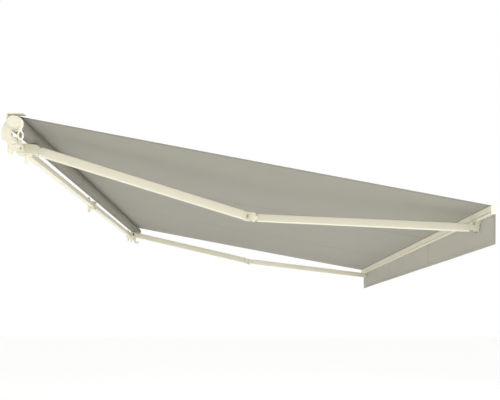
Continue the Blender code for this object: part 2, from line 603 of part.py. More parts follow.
def main():
    clear_scene()
    for name in FINISHES:
        make_finish(name)
    make_bar()
    make_brackets()
    make_hood_flanges()
    make_side_plates()
    roller_world = Matrix.Translation((0, ROLL_Y, ROLL_Z)) @ Matrix.Rotation(math.radians(-90), 4, "Y")
    make_roller(axis_empty("roller_axis", roller_world), roller_world)
    make_gearbox()
    crank_world = Matrix.Translation((GEAR_X, WORM_Y, 0))
    make_crank_eye(axis_empty("crank_axis", crank_world), crank_world)
    elbow_axis, elbow_world, left_front = make_arm("left", -1)
    right_front = make_arm("right", 1)[2]
    front_axis = axis_empty("front_axis", left_front, elbow_axis, elbow_world)
    make_front_fork("left", -1, left_front, front_axis, left_front)
    make_front_fork("right", 1, right_front, front_axis, left_front)
    make_front_bar(front_axis, left_front)
    make_canopy()


main()
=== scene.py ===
"""Looks of a folding-arm patio awning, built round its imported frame.

Every size comes from the frame or from the sizes of the class that makes the piece, in metres.
New pieces are numpy grids and profiles carried along a path; castings are copies of the frame's
own solids with their edges rounded.
"""
from __future__ import annotations

import json
import logging
import math
from dataclasses import dataclass, field
from enum import Enum

import bmesh
import bpy
import numpy as np
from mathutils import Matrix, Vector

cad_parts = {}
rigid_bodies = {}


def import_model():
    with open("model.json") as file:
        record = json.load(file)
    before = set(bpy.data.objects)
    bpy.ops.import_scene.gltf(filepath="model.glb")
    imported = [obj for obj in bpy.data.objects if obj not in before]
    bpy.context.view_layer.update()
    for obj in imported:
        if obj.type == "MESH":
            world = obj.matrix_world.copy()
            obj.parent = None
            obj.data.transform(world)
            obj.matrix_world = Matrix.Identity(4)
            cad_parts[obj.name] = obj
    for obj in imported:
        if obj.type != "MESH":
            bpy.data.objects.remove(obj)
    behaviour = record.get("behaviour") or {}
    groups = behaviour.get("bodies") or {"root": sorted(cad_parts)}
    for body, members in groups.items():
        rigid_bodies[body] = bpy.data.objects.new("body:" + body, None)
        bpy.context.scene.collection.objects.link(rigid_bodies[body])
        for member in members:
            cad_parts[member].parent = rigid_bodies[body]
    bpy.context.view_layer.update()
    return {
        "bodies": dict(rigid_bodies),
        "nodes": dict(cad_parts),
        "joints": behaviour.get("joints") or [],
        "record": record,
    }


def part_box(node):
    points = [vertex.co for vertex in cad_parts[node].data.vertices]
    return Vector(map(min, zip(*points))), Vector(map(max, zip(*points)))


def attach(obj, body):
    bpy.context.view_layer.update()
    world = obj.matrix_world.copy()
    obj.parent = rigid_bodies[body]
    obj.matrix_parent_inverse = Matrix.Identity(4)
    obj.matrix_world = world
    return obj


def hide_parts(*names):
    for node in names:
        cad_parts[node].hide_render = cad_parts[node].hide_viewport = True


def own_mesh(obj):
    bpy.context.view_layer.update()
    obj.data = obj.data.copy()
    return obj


LOG = logging.getLogger("awning")
MM = 0.001
# Faces of a casting that meet at more than this keep an edge between them.
CREASE = math.radians(32)
# How far a sewn band's tone goes towards the seam tone.
SEWN_TONE = 0.35
# The step at a sewn band's edge, and the slack when a place is compared with it.
BAND_EDGE = 0.0006
SLACK = 1e-6


class Side(Enum):
    """The two ends of the awning; the value is the sign of X."""

    LEFT = -1
    RIGHT = 1

    @property
    def word(self) -> str:
        """The side's name as the frame's nodes spell it."""
        return self.name.lower()


# ---- colour and material helpers -----------------------------------------------------------
def linear(code: str) -> tuple[float, float, float, float]:
    """Turn an sRGB hex colour into linear RGBA.

    Args:
        code: six hex digits, such as "EFE8D4".

    Returns:
        The linear red, green, blue and an alpha of one.
    """
    parts = [int(code[k:k + 2], 16) / 255 for k in (0, 2, 4)]
    curve = [c / 12.92 if c <= 0.04045 else ((c + 0.055) / 1.055) ** 2.4 for c in parts]
    return (curve[0], curve[1], curve[2], 1.0)


def add_node(tree: bpy.types.NodeTree, kind: str, settings: dict | None = None,
             inputs: dict | None = None) -> bpy.types.Node:
    """Add one node with its settings and links.

    Args:
        tree: the material's node tree.
        kind: the node's Blender type name.
        settings: attributes to set on the node.
        inputs: socket name or index to a value, or to an output socket to link.

    Returns:
        The new node.
    """
    node = tree.nodes.new(kind)
    for key, value in (settings or {}).items():
        setattr(node, key, value)
    for key, value in (inputs or {}).items():
        if isinstance(value, bpy.types.NodeSocket):
            tree.links.new(value, node.inputs[key])
        else:
            node.inputs[key].default_value = value
    return node


@dataclass(frozen=True)
class Finish:
    """A surface finish: two close tones, a gloss range and a fine relief."""

    name: str
    light: str
    dark: str
    roughness: float
    metallic: float = 0.0
    grain_mm: float = 4.0
    relief_mm: float = 0.02
    patch_mm: float = 220.0
    sheen: float = 0.0

    def tree(self) -> tuple[bpy.types.Material, bpy.types.NodeTree, bpy.types.Node]:
        """Start the material and give its tree and its shader."""
        material = bpy.data.materials.new(self.name)
        material.use_nodes = True
        tree = material.node_tree
        shader = tree.nodes["Principled BSDF"]
        shader.inputs["Metallic"].default_value = self.metallic
        shader.inputs["Sheen Weight"].default_value = self.sheen
        return material, tree, shader

    def make(self) -> bpy.types.Material:
        """Build the material on Object coordinates.

        Returns:
            A material with patchy tone, patchy gloss and a grain bump.
        """
        material, tree, shader = self.tree()
        place = add_node(tree, "ShaderNodeTexCoord").outputs["Object"]
        patch = add_node(tree, "ShaderNodeTexNoise", None,
                         {"Vector": place, "Scale": 1 / (self.patch_mm * MM), "Detail": 3.0})
        grain = add_node(tree, "ShaderNodeTexNoise", None,
                         {"Vector": place, "Scale": 1 / (self.grain_mm * MM), "Detail": 2.0})
        tone = add_node(tree, "ShaderNodeMix", {"data_type": "RGBA"},
                        {"Factor": patch.outputs["Fac"], 6: linear(self.light), 7: linear(self.dark)})
        gloss = add_node(tree, "ShaderNodeMapRange", None,
                         {"Value": patch.outputs["Fac"], "To Min": self.roughness - 0.05,
                          "To Max": self.roughness + 0.07})
        bump = add_node(tree, "ShaderNodeBump", None,
                        {"Height": grain.outputs["Fac"], "Distance": self.relief_mm * MM,
                         "Strength": 0.6})
        tree.links.new(tone.outputs[2], shader.inputs["Base Color"])
        tree.links.new(gloss.outputs["Result"], shader.inputs["Roughness"])
        tree.links.new(bump.outputs["Normal"], shader.inputs["Normal"])
        return material


@dataclass(frozen=True)
class Canvas(Finish):
    """Solution-dyed acrylic canvas, plain woven: matt, with a slub along warp and weft.

    The threads are 0.5 mm apart, too fine to show, so they are drawn thread_mm apart.
    """

    thread_mm: float = 5.0
    glow: float = 0.34
    glow_tone: str = "E6E6DE"
    seam_tone: str = "726C5F"

    def make(self) -> bpy.types.Material:
        """Build the cloth on its own UV map, which is in metres of cloth.

        Returns:
            A material with woven relief, slub streaks and darker sewn bands.
        """
        material, tree, shader = self.tree()
        shader.inputs["Sheen Roughness"].default_value = 0.6
        cut = add_node(tree, "ShaderNodeUVMap", {"uv_map": "cloth"}).outputs["UV"]
        pitch = 1 / (self.thread_mm * MM)
        warp = add_node(tree, "ShaderNodeTexWave", {"bands_direction": "X"},
                        {"Vector": cut, "Scale": pitch / 3, "Distortion": 0.6, "Detail": 2.0})
        weft = add_node(tree, "ShaderNodeTexWave", {"bands_direction": "Y"},
                        {"Vector": cut, "Scale": pitch / 3, "Distortion": 0.6, "Detail": 2.0})
        weave = add_node(tree, "ShaderNodeMath", {"operation": "MULTIPLY"},
                         {0: warp.outputs["Fac"], 1: weft.outputs["Fac"]})
        streak = add_node(tree, "ShaderNodeMapping", None, {"Vector": cut, "Scale": (90.0, 1.6, 1.0)})
        slub = add_node(tree, "ShaderNodeTexNoise", None,
                        {"Vector": streak.outputs["Vector"], "Scale": 1.0, "Detail": 4.0})
        cloud = add_node(tree, "ShaderNodeTexNoise", None,
                         {"Vector": cut, "Scale": 1 / (self.patch_mm * MM), "Detail": 3.0})
        mixed = add_node(tree, "ShaderNodeMath", {"operation": "MULTIPLY_ADD"},
                         {0: slub.outputs["Fac"], 1: 0.45, 2: 0.0})
        spread = add_node(tree, "ShaderNodeMath", {"operation": "MULTIPLY_ADD"},
                          {0: cloud.outputs["Fac"], 1: 0.55, 2: mixed.outputs[0]})
        tone = add_node(tree, "ShaderNodeMix", {"data_type": "RGBA"},
                        {"Factor": spread.outputs[0], 6: linear(self.light), 7: linear(self.dark)})
        sewn = add_node(tree, "ShaderNodeAttribute", {"attribute_name": "sewn"})
        banded = add_node(tree, "ShaderNodeMix", {"data_type": "RGBA"},
                          {"Factor": sewn.outputs["Fac"], 6: tone.outputs[2],
                           7: linear(self.seam_tone)})
        bump = add_node(tree, "ShaderNodeBump", None,
                        {"Height": weave.outputs[0], "Distance": self.relief_mm * MM, "Strength": 0.5})
        shader.inputs["Roughness"].default_value = self.roughness
        lit = add_node(tree, "ShaderNodeBsdfTranslucent", None, {"Color": linear(self.glow_tone)})
        cloth = add_node(tree, "ShaderNodeMixShader", None,
                         {"Fac": self.glow, 1: shader.outputs["BSDF"], 2: lit.outputs["BSDF"]})
        tree.links.new(cloth.outputs["Shader"], tree.nodes["Material Output"].inputs["Surface"])
        tree.links.new(banded.outputs[2], shader.inputs["Base Color"])
        tree.links.new(bump.outputs["Normal"], shader.inputs["Normal"])
        return material


# Polyester powder coat over extruded or cast aluminium: satin, with a faint orange peel.
POWDER = Finish("powder_coated_aluminium", "DFDBC7", "D9D4BF", 0.42, grain_mm=3.0, relief_mm=0.03)
# The same powder coat over steel tube and sheet: a little smoother.
COATED_STEEL = Finish("powder_coated_steel", "E2DECA", "DCD7C3", 0.38, grain_mm=2.5, relief_mm=0.02)
# The same colour moulded in ASA plastic: a little warmer and more matt.
MOULDED = Finish("moulded_asa", "E9E4D0", "E3DDC8", 0.5, grain_mm=1.6, relief_mm=0.015)
# Bright zinc plate on steel: grey metal with a cloudy gloss.
ZINC = Finish("zinc_plated_steel", "B9B8B2", "A3A29C", 0.34, metallic=1.0, grain_mm=1.2,
              relief_mm=0.01, patch_mm=30.0)
# Dope-dyed acrylic with a little daylight through it.
CANVAS = Canvas("acrylic_canvas", "99958A", "8F8B80", 0.92, relief_mm=0.35, patch_mm=420.0,
                sheen=0.1)


# ---- mesh helpers --------------------------------------------------------------------------
def mesh_object(name: str, points: np.ndarray, faces: list | np.ndarray,
                smooth: float = 40.0) -> bpy.types.Object:
    """Make an object at the origin from points and faces.

    Args:
        name: the piece's name.
        points: an (n, 3) array in metres.
        faces: vertex indices of each face.
        smooth: faces that meet at less than this angle, in degrees, shade as one.

    Returns:
        The new object, with its faces turned outwards.
    """
    mesh = bpy.data.meshes.new(name)
    rows = faces if isinstance(faces, list) else faces.tolist()
    mesh.from_pydata(np.asarray(points, float).tolist(), [], rows)
    work = bmesh.new()
    work.from_mesh(mesh)
    bmesh.ops.recalc_face_normals(work, faces=work.faces)
    work.to_mesh(mesh)
    work.free()
    mesh.shade_smooth()
    mesh.set_sharp_from_angle(angle=math.radians(smooth))
    piece = bpy.data.objects.new(name, mesh)
    bpy.context.scene.collection.objects.link(piece)
    return piece


def grid_faces(rows: int, columns: int, wrap_rows: bool = False,
               wrap_columns: bool = False) -> np.ndarray:
    """Index the quads of a grid of points, row by row.

    Args:
        rows: points down the grid.
        columns: points across it.
        wrap_rows: join the last row to the first.
        wrap_columns: join the last column to the first.

    Returns:
        An (m, 4) array of vertex indices.
    """
    r = np.arange(rows if wrap_rows else rows - 1)
    c = np.arange(columns if wrap_columns else columns - 1)
    rr, cc = np.meshgrid(r, c, indexing="ij")
    r2, c2 = (rr + 1) % rows, (cc + 1) % columns
    quads = np.stack([rr * columns + cc, rr * columns + c2, r2 * columns + c2, r2 * columns + cc], -1)
    return quads.reshape(-1, 4)


def capped_faces(rings: int, sides: int) -> list[list[int]]:
    """Faces of rings of points joined in a row, with a flat face over each end."""
    faces = grid_faces(rings, sides, wrap_columns=True).tolist()
    first, last = range(sides), range((rings - 1) * sides, rings * sides)
    return faces + [list(first)[::-1], list(last)]


def vertex_places(mesh: bpy.types.Mesh) -> np.ndarray:
    """A mesh's vertices as an (n, 3) array."""
    places = np.empty(len(mesh.vertices) * 3)
    mesh.vertices.foreach_get("co", places)
    return places.reshape(-1, 3)


def rounded_outline(width: float, height: float, radius: float, steps: int = 8) -> np.ndarray:
    """Points of a rectangle with round corners, centred on zero, walked anticlockwise."""
    turn = np.linspace(0, math.pi / 2, steps + 1)
    points = []
    for quarter, (sa, sb) in enumerate(((1, 1), (-1, 1), (-1, -1), (1, -1))):
        angle = turn + quarter * math.pi / 2
        points.append(np.stack([sa * (width / 2 - radius) + radius * np.cos(angle),
                                sb * (height / 2 - radius) + radius * np.sin(angle)], -1))
    return np.concatenate(points)


def carried(name: str, outline: np.ndarray, places: np.ndarray, scales: np.ndarray,
            frame: np.ndarray, closed: bool = True) -> bpy.types.Object:
    """Carry an outline along a straight axis, scaled at each place.

    A point is origin + place x axis + scale x (a x across + b x up), so equal places with
    unequal scales give a step or an end face.

    Args:
        name: the piece's name.
        outline: (n, 2) points.
        places: distances along the axis.
        scales: the outline's scale at each place.
        frame: rows of origin, axis, across and up.
        closed: join the last ring to the first, for a hollow piece.

    Returns:
        The new object.
    """
    origin, axis, across, up = frame
    flat = outline[:, :1] * across + outline[:, 1:] * up
    points = origin + places[:, None, None] * axis + scales[:, None, None] * flat
    rings, count = len(places), len(outline)
    faces = (grid_faces(rings, count, wrap_rows=True, wrap_columns=True) if closed
             else capped_faces(rings, count))
    return mesh_object(name, points.reshape(-1, 3), faces)


@dataclass
class Workshop:
    """The loaded frame with the finishes, and the way a piece is finished and fitted."""

    frame: dict
    finishes: dict[str, bpy.types.Material] = field(default_factory=dict)

    def dress(self, piece: bpy.types.Object, finish: Finish) -> None:
        """Give a piece a finish, making the material the first time."""
        if finish.name not in self.finishes:
            self.finishes[finish.name] = finish.make()
        piece.data.materials.clear()
        piece.data.materials.append(self.finishes[finish.name])

    def fit(self, piece: bpy.types.Object, finish: Finish, slot: str, body: str,
            *nodes: str) -> bpy.types.Object:
        """Dress a piece, put it on its body and hide the frame's nodes that it replaces.

        Args:
            piece: the new object.
            finish: its finish.
            slot: the record's slot; not used.
            body: the body it moves with.
            nodes: the frame's nodes that it replaces.

        Returns:
            The same piece.
        """
        self.dress(piece, finish)
        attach(piece, body)
        if nodes:
            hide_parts(*nodes)
        LOG.info("%s: %d faces on %s", piece.name, len(piece.data.polygons), body)
        return piece

    def body_of(self, node: str) -> str:
        """The body that a node belongs to."""
        groups = self.frame["record"]["behaviour"]["bodies"]
        return next(body for body, members in groups.items() if node in members)

    def soften(self, node: str, width: float, finish: Finish, slot: str) -> bpy.types.Object:
        """Copy a node with its edges rounded, as a casting or a moulding has them.

        Args:
            node: the node to copy.
            width: the bevel's width.
            finish: its finish.
            slot: the record's slot; passed on to fit, which does not use it.

        Returns:
            The new piece.
        """
        mesh = self.frame["nodes"][node].data.copy()
        work = bmesh.new()
        work.from_mesh(mesh)
        bmesh.ops.remove_doubles(work, verts=work.verts, dist=0.00002)
        bmesh.ops.dissolve_limit(work, angle_limit=math.radians(1.0), verts=work.verts,
                                 edges=work.edges)
        work.to_mesh(mesh)
        work.free()
        mesh.name = node + "_finished"
        piece = bpy.data.objects.new(node + "_finished", mesh)
        bpy.context.scene.collection.objects.link(piece)
        bevel = piece.modifiers.new("Rounded edges", "BEVEL")
        bevel.width = width
        bevel.segments = 2
        bevel.limit_method = "ANGLE"
        bevel.angle_limit = CREASE
        bevel.harden_normals = True
        mesh.shade_smooth()
        mesh.set_sharp_from_angle(angle=CREASE)
        return self.fit(piece, finish, slot, self.body_of(node), node)


# ---- cloth ---------------------------------------------------------------------------------
@dataclass
class ClothWidths:
    """How the cloth is sewn: equal widths, seams between them and a hem along each side."""

    widths: int = 3
    seam: float = 0.020
    hem: float = 0.028
    ply: float = 0.0011

    def stations(self, low: float, high: float, fill: int) -> np.ndarray:
        """Places across the cloth, with close pairs at every sewn band's edge."""
        left, right = low + self.hem, high - self.hem
        lines = [low, high, left, left + BAND_EDGE, right, right - BAND_EDGE]
        for seam in self.seams(low, high):
            for side in (-1, 1):
                lines += [seam + side * self.seam / 2, seam + side * (self.seam / 2 + BAND_EDGE)]
        return np.unique(np.round(np.concatenate([np.linspace(low, high, fill), lines]), 6))

    def seams(self, low: float, high: float) -> list[float]:
        """Places of the seams across the cloth."""
        return [low + (high - low) * k / self.widths for k in range(1, self.widths)]

    def bands(self, x: np.ndarray, low: float, high: float) -> np.ndarray:
        """One inside a sewn band and zero outside it."""
        inside = (x <= low + self.hem + SLACK) | (x >= high - self.hem - SLACK)
        for seam in self.seams(low, high):
            inside |= np.abs(x - seam) <= self.seam / 2 + SLACK
        return inside.astype(float)

    @staticmethod
    def mark(piece: bpy.types.Object, cut: np.ndarray, sewn: np.ndarray) -> None:
        """Write the cloth's UV map, in metres of cloth, and the mask of its sewn bands."""
        mesh = piece.data
        layer = mesh.uv_layers.new(name="cloth")
        index = np.empty(len(mesh.loops), np.int32)
        mesh.loops.foreach_get("vertex_index", index)
        layer.data.foreach_set("uv", cut[index].astype(np.float32).ravel())
        mask = mesh.attributes.new("sewn", "FLOAT", "POINT")
        mask.data.foreach_set("value", (sewn * SEWN_TONE).astype(np.float32))

    def thicken(self, piece: bpy.types.Object) -> None:
        """Give a sheet its ply, half on each side of the modelled surface."""
        ply = piece.modifiers.new("Ply", "SOLIDIFY")
        ply.thickness = self.ply
        ply.offset = 0.0
        ply.use_even_offset = True


@dataclass
class Canopy:
    """The stretched canopy, from the top of the roll to the groove in the front bar."""

    sewing: ClothWidths = field(default_factory=ClothWidths)
    sag: float = 0.002
    pucker: float = 0.0012
    pucker_from_seam: float = 0.05
    pucker_spread: float = 0.035
    band_drop: float = 0.0009
    above_roll: float = 0.0036
    across: int = 150
    down: int = 90

    def make(self, shop: Workshop) -> None:
        """Build the sheet as a height over a grid.

        The sheet leaves the roll along its tangent. Along the slope a point lies on the
        straight line from roll to bar, lowered by sag x 4t(1-t); across, it dips by the
        pucker beside each seam and by the band's thickness on it.

        Args:
            shop: the workshop.
        """
        low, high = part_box("canopy")
        roll_low, roll_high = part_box("fabric_roll")
        centre = (np.array(roll_low) + np.array(roll_high))[1:] / 2
        radius = (roll_high[2] - roll_low[2]) / 2
        bar_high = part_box("front_bar")[1]
        end = np.array([low[1] + 0.001, bar_high[2] + 0.0012])
        reach = end - centre
        distance = float(np.hypot(*reach))
        lift = radius + self.above_roll
        slope = math.atan2(-reach[1], -reach[0]) + math.asin(lift / distance)
        up = np.array([-math.sin(slope), math.cos(slope)])
        start = centre + up * lift
        run = end - start
        length = float(np.hypot(*run))
        x = self.sewing.stations(low[0], high[0], self.across)
        t = np.linspace(0, 1, self.down)
        line = start + t[:, None] * run
        line[:, 1] -= self.sag * 4 * t * (1 - t)
        bands = self.sewing.bands(x, low[0], high[0])
        ripple = np.zeros_like(x)
        for seam in self.sewing.seams(low[0], high[0]):
            ripple += np.exp(-((np.abs(x - seam) - self.pucker_from_seam) / self.pucker_spread) ** 2)
        free = np.abs(np.sin(math.pi * t)) ** 0.5
        drop = bands[None, :] * self.band_drop + free[:, None] * ripple[None, :] * self.pucker
        yz = line[:, None, :] - up * drop[:, :, None]
        points = np.concatenate([np.broadcast_to(x[None, :, None], drop.shape + (1,)), yz], -1)
        piece = mesh_object("canopy_cloth", points.reshape(-1, 3), grid_faces(len(t), len(x)), 50.0)
        cut = np.stack(np.broadcast_arrays(x[None, :], (t * length)[:, None]), -1).reshape(-1, 2)
        self.sewing.mark(piece, cut, np.broadcast_to(bands[None, :], drop.shape).ravel())
        self.sewing.thicken(piece)
        shop.fit(piece, CANVAS, "cloth", "root", "canopy")
        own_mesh(piece)

    @staticmethod
    def closed_travel(shop: Workshop) -> np.ndarray:
        """How far the front bar moves, from the fold's own geometry.

        Both links of an arm turn by the same angle in the arm plane, so the bar's distance
        from the shoulder goes as the cosine of the link's angle.

        Args:
            shop: the workshop.

        Returns:
            The bar's displacement from open to closed.
        """
        joints = {joint["name"]: joint for joint in shop.frame["joints"]}
        shoulder = np.array(joints["left_shoulder"]["pos_m"])
        bar = np.array(joints["left_front"]["pos_m"])
        elbow = np.array(joints["left_elbow"]["pos_m"])
        span = bar - shoulder
        reach = float(np.linalg.norm(span))
        inward = abs(elbow[0] - shoulder[0])
        link = math.hypot(inward, reach / 2)
        fold = math.radians(joints["left_shoulder"]["range_deg"][1])
        closed = 2 * link * math.cos(math.atan2(inward, reach / 2) + fold)
        return -span / reach * (reach - closed)


@dataclass
class Valance:
    """The straight valance that hangs in the front bar's lower groove."""

    sewing: ClothWidths = field(default_factory=ClothWidths)
    hem: float = 0.025
    wave: float = 0.0016
    across: int = 170
    down: int = 14

    def make(self, shop: Workshop) -> None:
        """Hang the strip as a flat sheet with slow waves that grow towards its free edge.

        Args:
            shop: the workshop.
        """
        low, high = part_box("valance")
        x = self.sewing.stations(low[0], high[0], self.across)
        top, foot = float(high[2]), float(low[2])
        hem = foot + self.hem
        levels = np.concatenate([np.linspace(foot, top, self.down), [hem, hem + BAND_EDGE]])
        z = np.unique(np.round(levels, 6))
        fall = (top - z) / (top - foot)
        y = (low[1] + high[1]) / 2
        bands = self.sewing.bands(x, low[0], high[0])
        hemmed = (z <= hem + SLACK).astype(float)
        sewn = np.maximum(bands[None, :], hemmed[:, None])
        wave = self.wave * (np.sin(x * 5.1) * 0.6 + np.sin(x * 11.7 + 1.0) * 0.4)
        depth = y - fall[:, None] ** 2 * wave[None, :] + sewn * BAND_EDGE
        points = np.stack(np.broadcast_arrays(x[None, :], depth, z[:, None]), -1)
        piece = mesh_object("valance_cloth", points.reshape(-1, 3), grid_faces(len(z), len(x)), 50.0)
        cut = np.stack(np.broadcast_arrays(x[None, :], z[:, None]), -1).reshape(-1, 2)
        self.sewing.mark(piece, cut, sewn.ravel())
        self.sewing.thicken(piece)
        shop.fit(piece, CANVAS, "cloth", "front", "valance")


@dataclass
class Roll:
    """The cloth still wound on the tube, and the tube's caps."""

    sewing: ClothWidths = field(default_factory=ClothWidths)
    sides: int = 72
    across: int = 120
    band_swell: float = 0.0004
    lap_step: float = 0.0005

    def make(self, shop: Workshop) -> None:
        """Turn the wound cloth: its radius rises over each seam and has one lap step.

        Args:
            shop: the workshop.
        """
        low, high = (np.array(corner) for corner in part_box("fabric_roll"))
        tube_low, tube_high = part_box("roller_tube")
        core = (tube_high[2] - tube_low[2]) / 2 + 0.0003
        radius = (high[2] - low[2]) / 2 - 0.0004
        centre = (low + high) / 2
        x = self.sewing.stations(low[0], high[0], self.across)
        swell = self.sewing.bands(x, low[0], high[0]) * self.band_swell
        turn = np.arange(self.sides) * math.tau / self.sides
        lap = self.lap_step * (turn / math.tau)
        outer = radius + swell[:, None] - lap[None, :]
        inner = np.full((1, self.sides), core)
        rings = np.concatenate([inner, outer, inner])
        places = np.concatenate([[x[0]], x, [x[-1]]])
        points = np.stack(np.broadcast_arrays(places[:, None], centre[1] + rings * np.cos(turn),
                                              centre[2] + rings * np.sin(turn)), -1)
        faces = grid_faces(len(places), self.sides, wrap_rows=True, wrap_columns=True)
        piece = mesh_object("wound_cloth", points.reshape(-1, 3), faces, 50.0)
        cut = np.stack(np.broadcast_arrays(places[:, None], turn[None, :] * radius), -1)
        bands = np.concatenate([[0], self.sewing.bands(x, low[0], high[0]), [0]])
        self.sewing.mark(piece, cut.reshape(-1, 2), np.repeat(bands, self.sides))
        shop.fit(piece, CANVAS, "cloth", "roller", "fabric_roll")
        for side in Side:
            shop.soften(f"roller_cap_{side.word}", 0.0008, MOULDED, "plastic")


# ---- arms ----------------------------------------------------------------------------------
@dataclass
class FoldingArm:
    """One folding arm: two oval tubes, their castings, pins, and the spring inside."""

    side: Side
    wall: float = 0.0026
    upper: tuple[float, float] = (0.036, 0.052)
    fore: tuple[float, float] = (0.032, 0.045)
    corner: float = 0.0055
    chamfer: float = 0.0008
    wire: float = 0.0020
    coil: float = 0.0100
    coil_pitch: float = 0.0056
    coil_steps: int = 12
    wire_sides: int = 7

    def tube(self, shop: Workshop, node: str, start: np.ndarray, end: np.ndarray,
             pivot: np.ndarray, section: tuple[float, float], body: str) -> np.ndarray:
        """Carry a rounded outline from one end of the tube to the other, hollow and chamfered.

        Args:
            shop: the workshop.
            node: the tube's node, which the piece replaces.
            start: a point on the tube's axis.
            end: another, further from the shoulder.
            pivot: the direction of the arm's pivots.
            section: width and height.
            body: the body it moves with.

        Returns:
            The tube's frame: rows of origin, axis, across and up.
        """
        axis = (end - start) / np.linalg.norm(end - start)
        across = np.cross(pivot, axis)
        across /= np.linalg.norm(across)
        up = np.cross(axis, across)
        frame = np.stack([start, axis, across, up])
        mesh = shop.frame["nodes"][node].data
        along = (vertex_places(mesh) - start) @ axis
        low, high = float(along.min()), float(along.max())
        width, height = section
        inner = 1 - 2 * self.wall / width
        edge = self.chamfer
        places = np.array([low + edge, high - edge, high, high, low, low])
        scales = np.array([1.0, 1.0, 1 - 2 * edge / width, inner, inner, 1 - 2 * edge / width])
        places = np.insert(places, 1, np.linspace(low, high, 9)[1:-1])
        scales = np.insert(scales, 1, np.ones(7))
        outline = rounded_outline(width, height, self.corner)
        piece = carried(node + "_extrusion", outline, places, scales, frame)
        shop.fit(piece, POWDER, "alloy", body, node)
        return frame

    def make(self, shop: Workshop) -> None:
        """Build both tubes, round the castings and wind the spring.

        Args:
            shop: the workshop.
        """
        word = self.side.word
        joints = {joint["name"]: joint for joint in shop.frame["joints"]}
        pivot = np.array(joints[f"{word}_shoulder"]["axis"])
        for node, section, body in ((f"upper_arm_{word}", self.upper, f"{word}_upper_arm"),
                                    (f"forearm_{word}", self.fore, f"{word}_forearm")):
            start, end = self.axis_ends(shop, node)
            frame = self.tube(shop, node, start, end, pivot, section, body)
            if node.startswith("upper"):
                self.spring(shop, frame)
        for node, width in ((f"shoulder_knuckle_{word}", 0.0015), (f"elbow_fork_{word}", 0.0015),
                            (f"elbow_tongue_{word}", 0.0015), (f"front_tongue_{word}", 0.0012),
                            (f"shoulder_bracket_{word}", 0.0020), (f"front_fork_{word}", 0.0012)):
            shop.soften(node, width, POWDER, "alloy")
        for node in (f"shoulder_pin_{word}", f"elbow_pin_{word}", f"front_pin_{word}"):
            shop.soften(node, 0.0006, ZINC, "zinc")
        shop.soften(f"pitch_screw_{word}", 0.0006, MOULDED, "plastic")
        shop.soften(f"spring_cable_{word}", 0.0003, ZINC, "zinc")

    @staticmethod
    def axis_ends(shop: Workshop, node: str) -> tuple[np.ndarray, np.ndarray]:
        """The middles of a tube's two ends, found from its solid, wall side first."""
        mesh = shop.frame["nodes"][node].data
        points = np.unique(np.round(vertex_places(mesh), 6), axis=0)
        middle = points.mean(0)
        direction = np.linalg.svd(points - middle, full_matrices=False)[2][0]
        direction *= -np.sign(direction[1])
        along = (points - middle) @ direction
        start = points[along < 0].mean(0)
        end = points[along > 0].mean(0)
        return start, end

    def spring(self, shop: Workshop, frame: np.ndarray) -> None:
        """Wind the tension spring: a helix of wire along the tube's axis.

        Args:
            shop: the workshop.
            frame: the upper tube's frame.
        """
        node = f"arm_spring_{self.side.word}"
        mesh = shop.frame["nodes"][node].data
        origin, axis, across, up = frame
        along = (vertex_places(mesh) - origin) @ axis
        low, high = float(along.min()) + self.wire, float(along.max()) - self.wire
        turns = (high - low) / self.coil_pitch
        t = np.linspace(0, 1, int(turns * self.coil_steps))
        angle = t * turns * math.tau
        out = np.cos(angle)[:, None] * across + np.sin(angle)[:, None] * up
        centres = origin + (low + t * (high - low))[:, None] * axis + self.coil * out
        ahead = np.gradient(centres, axis=0)
        ahead /= np.linalg.norm(ahead, axis=1, keepdims=True)
        side = np.cross(ahead, out)
        ring = np.arange(self.wire_sides) * math.tau / self.wire_sides
        wire = (centres[:, None] + self.wire * np.cos(ring)[None, :, None] * out[:, None]
                + self.wire * np.sin(ring)[None, :, None] * side[:, None])
        faces = capped_faces(len(centres), self.wire_sides)
        piece = mesh_object(f"{node}_coil", wire.reshape(-1, 3), faces, 60.0)
        shop.fit(piece, ZINC, "zinc", f"{self.side.word}_upper_arm", node)


